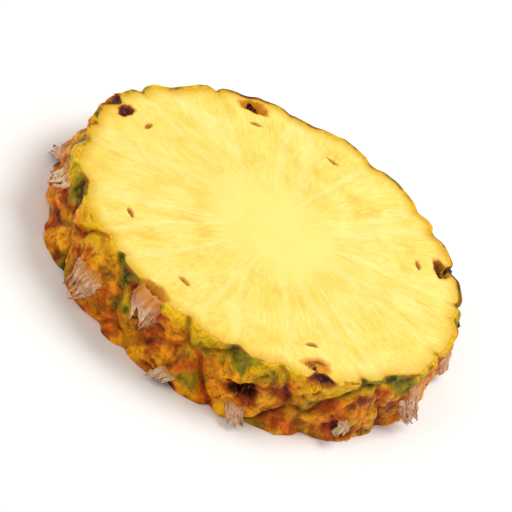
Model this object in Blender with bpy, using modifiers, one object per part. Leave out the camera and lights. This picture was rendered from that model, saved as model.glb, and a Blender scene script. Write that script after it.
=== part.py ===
# A round slice of ripe pineapple, cut straight across the fruit, with its rind on and its core in.
# Metres, +Z up. The slice lies flat on its crown side, so the bract tips on the rind point down.
# The origin is on the fruit's axis, at the lower cut face.

import math
import random

import bmesh
import bpy
from mathutils import Matrix

MM = 0.001

# The slice
RADIUS_LOWER = 57.0 * MM  # fruit radius at the lower cut, in the grooves between the eyes
RADIUS_UPPER = 55.8 * MM
THICKNESS = 19.5 * MM  # on the axis
WEDGE = 1.0 * MM  # the hand-made cut leaves one side this much thicker, the other this much thinner
THICK_SIDE = math.radians(280)
OVAL = 0.9 * MM
OVAL_DIRECTION = math.radians(25)
RIM_STEPS = 224
SIDE_ROWS = 12

# The eyes, set on a golden-angle spiral up the fruit
GOLDEN_ANGLE = math.radians(137.508)
EYE_RISE = 1.385 * MM  # height gained from one eye to the next on the spiral
FIRST_EYE_ANGLE = math.radians(169.2)
FIRST_EYE_HEIGHT = 20.6 * MM
EYE_NUMBERS = range(-23, 12)
EYE_SPACING = 22.5 * MM
EYE_TURN_SPREAD = math.radians(2.5)
EYE_HEIGHT_SPREAD = 0.7 * MM
EYE_SEED = 84

# The pattern of eyes strays from its spiral in slow waves, which curves the grooves. Each wave is
# (waves round the fruit, radians per metre up it, share of STRAY)
STRAY = 0.8 * MM
STRAY_SIDEWAYS = ((19, 420, 1.0), (41, -650, 0.5))
STRAY_UPWARDS = ((23, -380, 1.0), (37, 560, 0.5))

# The relief of one eye
PLATE_HEIGHT = 1.9 * MM  # an eye stands this far out of the grooves
PLATE_SHOULDER = 2.0 * MM  # over this width its edge rounds down to the groove
KEEL_HEIGHT = 0.9 * MM  # ridge that runs from the eye's upper edge to its middle
KEEL_WIDTH = 2.4 * MM
KEEL_RISE = 4.05 * MM  # its middle, above the middle of the eye
KEEL_REACH = 4.5 * MM
MIDDLE_DEPTH = 3.6 * MM  # hollow where the flower dried up
MIDDLE_WIDTH = 3.5 * MM
MIDDLE_TALL = 2.17 * MM
MIDDLE_DROP = 0.6 * MM
SEPAL_TURNS = (210, 270, 330)  # degrees round the middle, three small mounds below it
SEPAL_HEIGHT = 1.3 * MM
SEPAL_OFFSET = 3.9 * MM
SEPAL_WIDTH = 2.2 * MM

# Blossom cups that a cut opens
CUP_INSET = 5.4 * MM  # middle of the cup, in from the face of the eye
TORN_CUP_INSET = 1.2 * MM  # a torn cup breaks out through the rim
TORN_FROM = 0.75  # eyes livelier than this have a torn cup
CUP_HALF_SIZE = (2.7 * MM, 4.3 * MM, 3.6 * MM)  # along the radius, round the rim, up
CUP_REACH = 2.7 * MM  # a cup is open if its middle is this close to a cut
CUP_SIZE_SPREAD = 0.35

# Seed pockets further in
POCKET_INSET = 13.0 * MM
POCKET_HALF_SIZE = (0.8 * MM, 1.9 * MM, 1.3 * MM)
POCKET_REACH = 5.5 * MM
POCKET_TURN = 0.08  # radians that a pocket may lie to one side of its eye

# Dry bracts, the papery flaps that lie over the eyes
BRACT_LENGTH = 15.0 * MM
BRACT_GROWTH = (0.7, 0.4)  # share of the length that every bract has, and what liveliness adds
BRACT_HALF_WIDTH = 6.2 * MM
BRACT_TIP_HALF_WIDTH = 0.8 * MM
BRACT_TAPER = 2.0
BRACT_THICKNESS = 0.8 * MM
BRACT_START = 5.6 * MM  # root, above the middle of the eye
BRACT_ROOT_DEPTH = 1.2 * MM
BRACT_CLEARANCE = 1.9 * MM  # it soon stands this far off the eye
BRACT_EASE = 6.0  # the larger, the sooner
BRACT_ARCH = 2.4 * MM
BRACT_TIP_LIFT = 1.6 * MM  # and curls this much further out at its tip
BRACT_LEAN = 6.0 * MM
BRACT_CUT_GAP = 1.0 * MM
BRACT_FLOOR_GAP = 0.9 * MM
BRACT_SHORTEST = 5.5 * MM
BARE_EYES = (-12, -8, -7)  # these have lost their bract
BROKEN_OFF = {-2: 7.5 * MM}  # what is left of a bract that has broken off
BRACT_ROWS = 8
BRACT_COLUMNS = 5

MERGE_DISTANCE = 0.00002
NODE_NAME = "pineapple_slice"


def clear_scene():
    for obj in list(bpy.data.objects):
        bpy.data.objects.remove(obj, do_unlink=True)


def new_collection(name, hidden=False):
    collection = bpy.data.collections.new(name)
    collection.hide_render = hidden
    bpy.context.scene.collection.children.link(collection)
    return collection


def make_eyes():
    """Angle, height and liveliness of each eye by its number. Liveliness, 0 to 1, sets how eyes differ."""
    draw = random.Random(EYE_SEED)
    eyes = {}
    for number in EYE_NUMBERS:
        angle = FIRST_EYE_ANGLE + number * GOLDEN_ANGLE + draw.uniform(-1, 1) * EYE_TURN_SPREAD
        height = FIRST_EYE_HEIGHT + number * EYE_RISE + draw.uniform(-1, 1) * EYE_HEIGHT_SPREAD
        eyes[number] = (angle, height, draw.random())
    return eyes


def upper_cut_height(angle, radius):
    return THICKNESS + WEDGE * math.cos(angle - THICK_SIDE) * radius / RADIUS_UPPER


def groove_radius(angle, height):
    """Radius of the fruit in the grooves, from its taper and its slightly oval section."""
    taper = RADIUS_LOWER + (RADIUS_UPPER - RADIUS_LOWER) * height / THICKNESS
    return taper + OVAL * math.cos(2 * (angle - OVAL_DIRECTION))


def bump(distance, width):
    return math.exp(-((distance / width) ** 2))


def eye_relief(across, above):
    """Height of the details inside one eye, at a place across and above its middle."""
    keel = KEEL_HEIGHT * bump(across, KEEL_WIDTH) * bump(above - KEEL_RISE, KEEL_REACH)
    middle = -MIDDLE_DEPTH * bump(across, MIDDLE_WIDTH) * bump(above + MIDDLE_DROP, MIDDLE_TALL)
    sepals = 0.0
    for turn in SEPAL_TURNS:
        side = math.cos(math.radians(turn)) * SEPAL_OFFSET
        below = math.sin(math.radians(turn)) * SEPAL_OFFSET
        sepals += SEPAL_HEIGHT * bump(math.hypot(across - side, above - below), SEPAL_WIDTH)
    return keel + middle + sepals


def stray(waves, angle, height):
    """How far the pattern of eyes strays at a place, one way."""
    return STRAY * sum(share * math.sin(count * angle + pitch * height) for count, pitch, share in waves)


def rind_radius(eyes, angle, height):
    """Radius of the rind's face: the groove, the nearest eye's rounded plate, and that eye's details."""
    base = groove_radius(angle, height)
    sideways = stray(STRAY_SIDEWAYS, angle, height)
    upwards = stray(STRAY_UPWARDS, angle, height)
    places = []
    for eye_angle, eye_height, _ in eyes.values():
        across = math.remainder(angle - eye_angle, math.tau) * base + sideways
        above = height - eye_height + upwards
        places.append((math.hypot(across, above), across, above))
    nearest, second = sorted(places)[:2]
    from_groove = (second[0] ** 2 - nearest[0] ** 2) / (2 * EYE_SPACING)
    risen = 1 - bump(from_groove, PLATE_SHOULDER)
    return base + (PLATE_HEIGHT + eye_relief(nearest[1], nearest[2])) * risen


def turned_disc(collection):
    """A plain disc, turned from a profile that runs down its outer side."""
    bm = bmesh.new()
    corners = [(0.0, THICKNESS)]
    corners += [(RADIUS_LOWER, THICKNESS * (1 - row / SIDE_ROWS)) for row in range(SIDE_ROWS + 1)]
    corners.append((0.0, 0.0))
    points = [bm.verts.new((radius, 0.0, height)) for radius, height in corners]
    for start, end in zip(points, points[1:]):
        bm.edges.new((start, end))
    mesh = bpy.data.meshes.new("disc_profile")
    bm.to_mesh(mesh)
    bm.free()
    profile = bpy.data.objects.new("disc_profile", mesh)
    collection.objects.link(profile)
    screw = profile.modifiers.new("turn", "SCREW")
    screw.axis = "Z"
    screw.steps = screw.render_steps = RIM_STEPS
    screw.use_merge_vertices = True
    screw.merge_threshold = MERGE_DISTANCE
    return profile


def mesh_of(obj):
    """The object's mesh with its modifiers applied."""
    graph = bpy.context.evaluated_depsgraph_get()
    return bpy.data.meshes.new_from_object(obj.evaluated_get(graph))


def carve_rind(mesh, eyes):
    """Moves the disc's points out to the rind and up to the sloping cut, and flattens each cut."""
    bm = bmesh.new()
    bm.from_mesh(mesh)
    for vert in bm.verts:
        if math.hypot(vert.co.x, vert.co.y) < MM:
            continue
        angle = math.atan2(vert.co.y, vert.co.x)
        share = vert.co.z / THICKNESS
        height = share * upper_cut_height(angle, RADIUS_UPPER)
        radius = rind_radius(eyes, angle, height)
        if share > 1 - 0.5 / SIDE_ROWS:
            height = upper_cut_height(angle, radius)
        vert.co = (radius * math.cos(angle), radius * math.sin(angle), height)
    for end in (-1, 1):
        cut = [face for face in bm.faces if face.normal.z * end > 0.99]
        bmesh.ops.dissolve_faces(bm, faces=cut, use_verts=False)
    bmesh.ops.triangulate(bm, faces=[face for face in bm.faces if len(face.verts) == 4])
    bm.to_mesh(mesh)
    bm.free()


def make_hollow(name, collection, eye, inset, sizes):
    """A ball-shaped cutter that lies inset from the face of one eye, level with its middle."""
    angle, height, _ = eye
    radius = groove_radius(angle, height) + PLATE_HEIGHT - inset
    bm = bmesh.new()
    bmesh.ops.create_uvsphere(bm, u_segments=12, v_segments=8, radius=1.0)
    bmesh.ops.scale(bm, vec=sizes, verts=bm.verts)
    bmesh.ops.translate(bm, vec=(radius, 0, height), verts=bm.verts)
    bmesh.ops.rotate(bm, matrix=Matrix.Rotation(angle, 3, "Z"), verts=bm.verts)
    mesh = bpy.data.meshes.new(name)
    bm.to_mesh(mesh)
    bm.free()
    cutter = bpy.data.objects.new(name, mesh)
    cutter.hide_render = True
    cutter.display_type = "WIRE"
    collection.objects.link(cutter)


def make_hollows(collection, eyes):
    """Blossom cups and seed pockets of the eyes that lie near enough to a cut to be opened by it."""
    for number, eye in eyes.items():
        angle, height, liveliness = eye
        from_upper = abs(height - upper_cut_height(angle, RADIUS_UPPER))
        from_cut = min(from_upper, abs(height))
        if from_cut < CUP_REACH:
            grown = 1 + (liveliness - 0.5) * 2 * CUP_SIZE_SPREAD
            sizes = [size * grown for size in CUP_HALF_SIZE]
            inset = TORN_CUP_INSET if liveliness > TORN_FROM else CUP_INSET
            make_hollow(f"blossom_cup_{number}", collection, eye, inset, sizes)
        if from_cut < POCKET_REACH:
            level = 0.0 if height < THICKNESS / 2 else upper_cut_height(angle, RADIUS_UPPER)
            at_cut = (angle + (liveliness - 0.5) * POCKET_TURN, level, liveliness)
            make_hollow(f"seed_pocket_{number}", collection, at_cut, POCKET_INSET, POCKET_HALF_SIZE)


def bract_point(eye, root_height, length, along, across):
    """A point on a bract's middle surface: along is 0 at the root and 1 at the tip, across is -1 to 1."""
    angle, _, liveliness = eye
    half_width = BRACT_HALF_WIDTH - (BRACT_HALF_WIDTH - BRACT_TIP_HALF_WIDTH) * along**BRACT_TAPER
    sideways = across * half_width + (liveliness - 0.5) * BRACT_LEAN * along**2
    height = root_height - length * along
    rise = (BRACT_ROOT_DEPTH + BRACT_CLEARANCE) * (1 - math.exp(-BRACT_EASE * along)) - BRACT_ROOT_DEPTH
    curl = BRACT_TIP_LIFT * (0.5 + liveliness) * along**2.5
    arch = BRACT_ARCH * across**2 * half_width / BRACT_HALF_WIDTH
    radius = groove_radius(angle, height) + PLATE_HEIGHT + rise + curl - arch
    turn = angle + sideways / radius
    return (radius * math.cos(turn), radius * math.sin(turn), height)


def make_bract(name, collection, eye, longest):
    """A thin arched flap, from a grid bent over the eye, or nothing where the cut leaves no room."""
    angle, height, liveliness = eye
    cut = upper_cut_height(angle, RADIUS_UPPER)
    root_height = min(height + BRACT_START, cut - BRACT_CUT_GAP)
    every, lively = BRACT_GROWTH
    length = min(BRACT_LENGTH * (every + lively * liveliness), root_height - BRACT_FLOOR_GAP, longest)
    if length < BRACT_SHORTEST or height > cut:
        return
    bm = bmesh.new()
    bmesh.ops.create_grid(bm, x_segments=BRACT_COLUMNS, y_segments=BRACT_ROWS, size=1.0)
    for vert in bm.verts:
        along = (1 - vert.co.y) / 2
        vert.co = bract_point(eye, root_height, length, along, vert.co.x)
    mesh = bpy.data.meshes.new(name)
    bm.to_mesh(mesh)
    bm.free()
    bract = bpy.data.objects.new(name, mesh)
    collection.objects.link(bract)
    wall = bract.modifiers.new("wall", "SOLIDIFY")
    wall.thickness = BRACT_THICKNESS
    wall.offset = 0.0
    bract.modifiers.new("flat_faces", "TRIANGULATE")


def flesh_material():
    material = bpy.data.materials.new("pineapple")
    material.use_nodes = True
    shader = material.node_tree.nodes["Principled BSDF"]
    shader.inputs["Base Color"].default_value = (0.86, 0.62, 0.13, 1.0)
    shader.inputs["Roughness"].default_value = 0.35
    shader.inputs["Metallic"].default_value = 0.0
    return material


def apply_boolean(obj, operation, collection):
    """Joins a collection to the object, or cuts it out, for good, and removes the collection's objects."""
    boolean = obj.modifiers.new(operation.lower(), "BOOLEAN")
    boolean.operation = operation
    boolean.operand_type = "COLLECTION"
    boolean.collection = collection
    boolean.solver = "EXACT"
    joined = mesh_of(obj)
    obj.modifiers.remove(boolean)
    obj.data = joined
    for helper in list(collection.objects):
        bpy.data.objects.remove(helper, do_unlink=True)


def keep_largest_piece(obj):
    """Drops loose scraps, such as a sliver that a cut parts from its bract."""
    bm = bmesh.new()
    bm.from_mesh(obj.data)
    unseen = set(bm.verts)
    pieces = []
    while unseen:
        edge_of_piece = [unseen.pop()]
        piece = set(edge_of_piece)
        while edge_of_piece:
            vert = edge_of_piece.pop()
            for edge in vert.link_edges:
                other = edge.other_vert(vert)
                if other in unseen:
                    unseen.discard(other)
                    piece.add(other)
                    edge_of_piece.append(other)
        pieces.append(piece)
    largest = max(pieces, key=len)
    scraps = [vert for vert in bm.verts if vert not in largest]
    bmesh.ops.delete(bm, geom=scraps, context="VERTS")
    bmesh.ops.triangulate(bm, faces=bm.faces)
    bm.to_mesh(obj.data)
    bm.free()


def main():
    clear_scene()
    slice_collection = new_collection("pineapple slice")
    cutters = new_collection("hollows", hidden=True)
    spikes = new_collection("bracts", hidden=True)
    eyes = make_eyes()

    profile = turned_disc(cutters)
    bpy.context.view_layer.update()
    body_mesh = mesh_of(profile)
    bpy.data.objects.remove(profile, do_unlink=True)
    body_mesh.name = NODE_NAME
    carve_rind(body_mesh, eyes)
    body = bpy.data.objects.new(NODE_NAME, body_mesh)
    slice_collection.objects.link(body)

    make_hollows(cutters, eyes)
    for number in sorted(set(eyes) - set(BARE_EYES)):
        make_bract(f"bract_{number}", spikes, eyes[number], BROKEN_OFF.get(number, math.inf))
    bpy.context.view_layer.update()
    apply_boolean(body, "DIFFERENCE", cutters)
    apply_boolean(body, "UNION", spikes)
    keep_largest_piece(body)

    body.data.materials.clear()
    body.data.materials.append(flesh_material())
    body.data.shade_smooth()
    body.data.set_sharp_from_angle(angle=math.radians(40))


main()
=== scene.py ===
import math
import random

import bmesh
import bpy
import numpy as np
from mathutils import Matrix, Vector, noise


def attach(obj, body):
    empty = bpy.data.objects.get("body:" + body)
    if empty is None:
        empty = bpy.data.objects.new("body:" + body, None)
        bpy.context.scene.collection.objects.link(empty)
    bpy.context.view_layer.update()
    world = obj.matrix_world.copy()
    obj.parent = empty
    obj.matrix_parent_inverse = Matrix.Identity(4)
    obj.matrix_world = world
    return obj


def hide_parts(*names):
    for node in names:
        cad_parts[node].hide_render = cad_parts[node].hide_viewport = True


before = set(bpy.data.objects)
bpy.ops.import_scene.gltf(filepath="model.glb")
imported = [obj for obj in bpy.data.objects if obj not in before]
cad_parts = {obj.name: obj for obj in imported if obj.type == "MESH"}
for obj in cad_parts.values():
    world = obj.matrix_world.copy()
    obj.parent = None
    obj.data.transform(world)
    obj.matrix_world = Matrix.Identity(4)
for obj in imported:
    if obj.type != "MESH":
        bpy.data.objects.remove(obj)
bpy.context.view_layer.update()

print("frame loaded")

# The round slab, the same form as the solid. Metres and radians
slab = {
    "radiusLower": 0.0570,
    "radiusUpper": 0.0558,
    "thickness": 0.0195,
    "wedge": 0.0010,
    "thickSide": math.radians(280),
    "oval": 0.0009,
    "ovalDirection": math.radians(25),
    "doublings": 4,
    "mergeGap": 0.00001,
    "slack": 0.001,
    "sharpEdge": math.radians(55),
}

# The eyes on their golden-angle spiral, and the relief of one eye
eyeForm = {
    "turn": math.radians(137.508),
    "rise": 0.001385,
    "firstAngle": math.radians(169.2),
    "firstHeight": 0.0206,
    "numbers": range(-23, 12),
    "spacing": 0.0225,
    "turnSpread": math.radians(2.5),
    "heightSpread": 0.0007,
    "seed": 84,
    "plateHeight": 0.0019,
    "plateShoulder": 0.0020,
    "keelHeight": 0.0009,
    "keelWidth": 0.0024,
    "keelRise": 0.00405,
    "keelReach": 0.0045,
    "middleDepth": 0.0036,
    "middleWidth": 0.0035,
    "middleTall": 0.00217,
    "middleDrop": 0.0006,
    "sepalTurns": (210, 270, 330),
    "sepalHeight": 0.0013,
    "sepalOffset": 0.0039,
    "sepalWidth": 0.0022,
    "stray": 0.0008,
    "straySideways": ((19, 420, 1.0), (41, -650, 0.5)),
    "strayUpwards": ((23, -380, 1.0), (37, 560, 0.5)),
}

# Blossom cups and seed pockets that a cut opens
hollowForm = {
    "cupInset": 0.0054,
    "tornInset": 0.0012,
    "tornFrom": 0.75,
    "cupSize": (0.0027, 0.0043, 0.0036),
    "cupReach": 0.0027,
    "cupSpread": 0.35,
    "cupPhase": 9,
    "glowGain": 2.6,
    "glowLoss": 0.7,
    "pocketInset": 0.0130,
    "pocketSize": (0.0008, 0.0019, 0.0013),
    "pocketReach": 0.0055,
    "pocketTurn": 0.08,
    "pocketPhase": 7,
    "deepest": 0.0042,
    "wallWidth": 0.20,
    "ragged": 0.16,
    "edgeWaves": ((3, 1, 0.6), (7, 2, 0.4)),
    "haloWidth": 0.42,
    "haloStrength": {"cup": 1.0, "pocket": 0.6},
}


def makeEyes():
    form = eyeForm
    draw = random.Random(form["seed"])
    eyes = {}
    for number in form["numbers"]:
        angle = form["firstAngle"] + number * form["turn"]
        angle += draw.uniform(-1, 1) * form["turnSpread"]
        height = form["firstHeight"] + number * form["rise"]
        height += draw.uniform(-1, 1) * form["heightSpread"]
        eyes[number] = (angle, height, draw.random())
    return eyes


eyes = makeEyes()
eyeAngles, eyeHeights, eyeTones = np.array(list(eyes.values())).T


def toPlane(radius, angle):
    return radius * np.cos(angle), radius * np.sin(angle)


def upperCut(angle, radius):
    tilt = slab["wedge"] * np.cos(angle - slab["thickSide"]) * radius / slab["radiusUpper"]
    return slab["thickness"] + tilt


def grooveRadius(angle, height):
    taper = slab["radiusLower"] + (slab["radiusUpper"] - slab["radiusLower"]) * height / slab["thickness"]
    return taper + slab["oval"] * np.cos(2 * (angle - slab["ovalDirection"]))


# Height of the upper cut at the rim
def rimHeight(angle):
    return float(upperCut(angle, slab["radiusUpper"]))


def hump(distance, width):
    return np.exp(-((distance / width) ** 2))


# How far the pattern of eyes strays from its spiral, one way, in slow waves that curve the grooves
def stray(waves, angle, height):
    moved = sum(share * np.sin(count * angle + pitch * height) for count, pitch, share in waves)
    return eyeForm["stray"] * moved


# For each point: its nearest eye, where it is in that eye, and how far it is from the groove round it
def findEye(angle, height):
    base = grooveRadius(angle, height)
    sideways = stray(eyeForm["straySideways"], angle, height)
    upwards = stray(eyeForm["strayUpwards"], angle, height)
    turned = (angle[:, None] - eyeAngles + math.pi) % math.tau - math.pi
    across = turned * base[:, None] + sideways[:, None]
    above = height[:, None] - eyeHeights + upwards[:, None]
    away = np.hypot(across, above)
    order = np.argsort(away, axis=1)
    rows = np.arange(len(angle))
    nearest = order[:, 0]
    second = order[:, 1]
    fromGroove = (away[rows, second] ** 2 - away[rows, nearest] ** 2) / (2 * eyeForm["spacing"])
    return nearest, across[rows, nearest], above[rows, nearest], fromGroove


# From 1 in the middle of an eye, where its flower dried up, down to 0 round it
def eyeMiddle(across, above):
    return hump(across, eyeForm["middleWidth"]) * hump(above + eyeForm["middleDrop"], eyeForm["middleTall"])


def eyeRelief(across, above):
    form = eyeForm
    keel = hump(across, form["keelWidth"]) * hump(above - form["keelRise"], form["keelReach"])
    relief = form["keelHeight"] * keel - form["middleDepth"] * eyeMiddle(across, above)
    for turn in form["sepalTurns"]:
        side = math.cos(math.radians(turn)) * form["sepalOffset"]
        rise = math.sin(math.radians(turn)) * form["sepalOffset"]
        away = np.hypot(across - side, above - rise)
        relief = relief + form["sepalHeight"] * hump(away, form["sepalWidth"])
    return relief


def rindRadius(angle, height):
    _, across, above, fromGroove = findEye(angle, height)
    risen = 1 - hump(fromGroove, eyeForm["plateShoulder"])
    return grooveRadius(angle, height) + (eyeForm["plateHeight"] + eyeRelief(across, above)) * risen


def makeHollows():
    form = hollowForm
    hollows = []
    for number, (angle, height, tone) in eyes.items():
        cut = rimHeight(angle)
        upper = height > slab["thickness"] / 2
        fromCut = min(abs(height - cut), abs(height))
        if fromCut < form["cupReach"]:
            grown = 1 + (tone - 0.5) * 2 * form["cupSpread"]
            inset = form["tornInset"] if tone > form["tornFrom"] else form["cupInset"]
            glow = tone * form["glowGain"] - form["glowLoss"]
            hollows.append({
                "kind": "cup",
                "upper": upper,
                "angle": angle,
                "radius": float(grooveRadius(angle, height)) + eyeForm["plateHeight"] - inset,
                "size": [side * grown for side in form["cupSize"]],
                "below": cut - height if upper else height,
                "phase": tone * form["cupPhase"] + number,
                "glow": min(max(glow, 0.0), 1.0),
            })
        if fromCut < form["pocketReach"]:
            turned = angle + (tone - 0.5) * form["pocketTurn"]
            face = float(grooveRadius(turned, cut if upper else 0.0)) + eyeForm["plateHeight"]
            hollows.append({
                "kind": "pocket",
                "upper": upper,
                "angle": turned,
                "radius": face - form["pocketInset"],
                "size": form["pocketSize"],
                "below": 0.0,
                "phase": tone * form["pocketPhase"] + number,
                "glow": 0.0,
            })
    return hollows


hollows = makeHollows()


# How deep the hollows go below a cut face, with masks of the cups, the pockets, the rings round them
# and the golden glow
def hollowDepth(x, y, upper):
    depth = np.zeros(len(x))
    masks = {"cup": np.zeros(len(x)), "pocket": np.zeros(len(x))}
    halo = np.zeros(len(x))
    glow = np.zeros(len(x))
    wide = hollowForm["haloWidth"]
    for hollow in hollows:
        if hollow["upper"] != upper:
            continue
        kind = hollow["kind"]
        outSize, sideSize, highSize = hollow["size"]
        outward = (x * math.cos(hollow["angle"]) + y * math.sin(hollow["angle"]) - hollow["radius"]) / outSize
        aside = (y * math.cos(hollow["angle"]) - x * math.sin(hollow["angle"])) / sideSize
        turn = np.arctan2(aside, outward)
        wave = sum(share * np.sin(count * turn + shift * hollow["phase"])
                   for count, shift, share in hollowForm["edgeWaves"])
        away = np.hypot(outward, aside) / (1 + hollowForm["ragged"] * wave)
        mouth = math.sqrt(1 - (hollow["below"] / highSize) ** 2)
        floorDepth = hollow["below"] + highSize * np.sqrt(np.clip(1 - away**2, 0, 1))
        wall = np.clip((mouth - away) / hollowForm["wallWidth"], 0, 1)
        depth = np.maximum(depth, np.minimum(floorDepth, hollowForm["deepest"]) * wall)
        masks[kind] = np.maximum(masks[kind], wall)
        ring = np.clip((mouth + wide - away) / wide, 0, 1)
        halo = np.maximum(halo, ring * hollowForm["haloStrength"][kind])
        glow = np.where(ring > 0, hollow["glow"], glow)
    return depth, masks["cup"], masks["pocket"], halo, glow


# Height of the rim of one cut round the slice, and its depth in a hollow
def rimLine(angle, upper):
    level = upperCut(angle, slab["radiusUpper"]) if upper else np.zeros(len(angle))
    radius = rindRadius(angle, level)
    depth = hollowDepth(*toPlane(radius, angle), upper)[0]
    return upperCut(angle, radius) - depth if upper else depth, depth


# Height of each point between both rims, the height of the upper rim, and how far the nearer rim is torn down
def betweenRims(angle, level):
    upperHeight, upperTorn = rimLine(angle, True)
    lowerHeight, lowerTorn = rimLine(angle, False)
    height = lowerHeight + level * (upperHeight - lowerHeight)
    return height, upperHeight, np.where(level > 0.5, upperTorn, lowerTorn)


def finishMesh(bm, name):
    mesh = bpy.data.meshes.new(name)
    bm.to_mesh(mesh)
    bm.free()
    return mesh


# A profile of (radius, height) points, turned through a narrow sector that is then doubled to the full round
def turnProfile(name, points, sectorSteps, closed):
    bm = bmesh.new()
    verts = [bm.verts.new((radius, 0, height)) for radius, height in points]
    pairs = list(zip(verts, verts[1:]))
    if closed:
        pairs.append((verts[-1], verts[0]))
    edges = [bm.edges.new(pair) for pair in pairs]
    sector = math.tau / 2 ** slab["doublings"]
    bmesh.ops.spin(bm, geom=verts + edges, cent=(0, 0, 0), axis=(0, 0, 1), dvec=(0, 0, 0), angle=sector,
                   steps=sectorSteps, use_merge=False, use_normal_flip=False, use_duplicate=False)
    for _ in range(slab["doublings"]):
        made = bmesh.ops.duplicate(bm, geom=bm.verts[:] + bm.edges[:] + bm.faces[:])["geom"]
        copied = [item for item in made if isinstance(item, bmesh.types.BMVert)]
        bmesh.ops.rotate(bm, cent=(0, 0, 0), matrix=Matrix.Rotation(sector, 3, "Z"), verts=copied)
        sector *= 2
    bmesh.ops.remove_doubles(bm, verts=bm.verts, dist=slab["mergeGap"])
    bmesh.ops.recalc_face_normals(bm, faces=bm.faces)
    return finishMesh(bm, name)


# Each point of a turned profile as a share of the radius, a level and an angle
def readProfile(mesh):
    flat = np.empty(len(mesh.vertices) * 3)
    mesh.vertices.foreach_get("co", flat)
    x, y, level = flat.reshape(-1, 3).T
    return np.hypot(x, y), level, np.arctan2(y, x)


# Which points are at a level of 1, and which at 0
def findEnds(level):
    return level > 1 - slab["slack"], level < slab["slack"]


def writePoints(mesh, x, y, z):
    mesh.vertices.foreach_set("co", np.column_stack((x, y, z)).ravel())
    mesh.update()


def writeMasks(mesh, masks):
    for name, values in masks.items():
        layer = mesh.attributes.new(name, "FLOAT", "POINT")
        layer.data.foreach_set("value", np.asarray(values, dtype=np.float32))


# Noise at each point, from about -1 to 1
def pointNoise(x, y, z, scale, octaves, falloff=0.9, octaveStep=2.1):
    points = zip(x, y, z)
    return np.array([noise.fractal(Vector(point) * scale, falloff, octaveStep, octaves) for point in points])


def addObject(name, data):
    made = bpy.data.objects.new(name, data)
    bpy.context.scene.collection.objects.link(made)
    return made


def addPiece(name, mesh, material):
    piece = addObject(name, mesh)
    mesh.materials.append(material)
    mesh.shade_smooth()
    mesh.set_sharp_from_angle(angle=slab["sharpEdge"])
    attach(piece, "root")
    print(name, "made,", len(mesh.polygons), "faces")
    return piece


def addWall(piece, thickness):
    wall = piece.modifiers.new("thinWall", "SOLIDIFY")
    wall.thickness = thickness
    wall.offset = 0.0


# sRGB steps of 0 to 255 as a linear colour
def tint(red, green, blue):
    return tuple((step / 255) ** 2.2 for step in (red, green, blue)) + (1.0,)


def addNode(tree, kind, inputs=None, **settings):
    node = tree.nodes.new("ShaderNode" + kind)
    for name, value in settings.items():
        setattr(node, name, value)
    for name, value in (inputs or {}).items():
        if isinstance(value, bpy.types.NodeSocket):
            tree.links.new(value, node.inputs[name])
        else:
            node.inputs[name].default_value = value
    return node


def calculate(tree, operation, *values):
    return addNode(tree, "Math", dict(enumerate(values)), operation=operation).outputs[0]


def times(tree, *values):
    product = values[0]
    for value in values[1:]:
        product = calculate(tree, "MULTIPLY", product, value)
    return product


def plus(tree, first, second):
    return calculate(tree, "ADD", first, second)


def larger(tree, first, second):
    return calculate(tree, "MAXIMUM", first, second)


def blendColour(tree, amount, first, second):
    return addNode(tree, "Mix", {0: amount, 6: first, 7: second}, data_type="RGBA").outputs[2]


def smoothStep(tree, value, low, high):
    ends = {"Value": value, "From Min": low, "From Max": high}
    return addNode(tree, "MapRange", ends, interpolation_type="SMOOTHSTEP").outputs["Result"]


# From 0 at the start to 1 at the end. Where the start is the higher value, the fade runs downwards
def fade(tree, value, start, end):
    if start < end:
        return smoothStep(tree, value, start, end)
    return calculate(tree, "SUBTRACT", 1.0, smoothStep(tree, value, end, start))


def newGroup(name, inputs, output):
    tree = bpy.data.node_groups.new(name, "ShaderNodeTree")
    for label, value in inputs.items():
        socket = tree.interface.new_socket(name=label, in_out="INPUT", socket_type="NodeSocketFloat")
        socket.default_value = value
    tree.interface.new_socket(name=output, in_out="OUTPUT", socket_type="NodeSocketFloat")
    return tree, tree.nodes.new("NodeGroupInput").outputs, tree.nodes.new("NodeGroupOutput").inputs


def combine(tree, operation, first, second):
    return addNode(tree, "VectorMath", {0: first, 1: second}, operation=operation).outputs[0]


def scaleVector(tree, vector, scale):
    return addNode(tree, "VectorMath", {0: vector, "Scale": scale}, operation="SCALE").outputs[0]


# Soft patches in the round, between two levels of a noise
def makePatchGroup():
    inputs = {"Scale": 100.0, "Detail": 3.0, "Low": 0.45, "High": 0.6, "Shift": 0.0}
    tree, given, out = newGroup("patches", inputs, "Mask")
    moved = combine(tree, "ADD", addNode(tree, "TexCoord").outputs["Object"], given["Shift"])
    spots = addNode(tree, "TexNoise", {"Vector": moved, "Scale": given["Scale"], "Detail": given["Detail"]})
    tree.links.new(smoothStep(tree, spots.outputs["Fac"], given["Low"], given["High"]), out["Mask"])
    return tree


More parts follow.
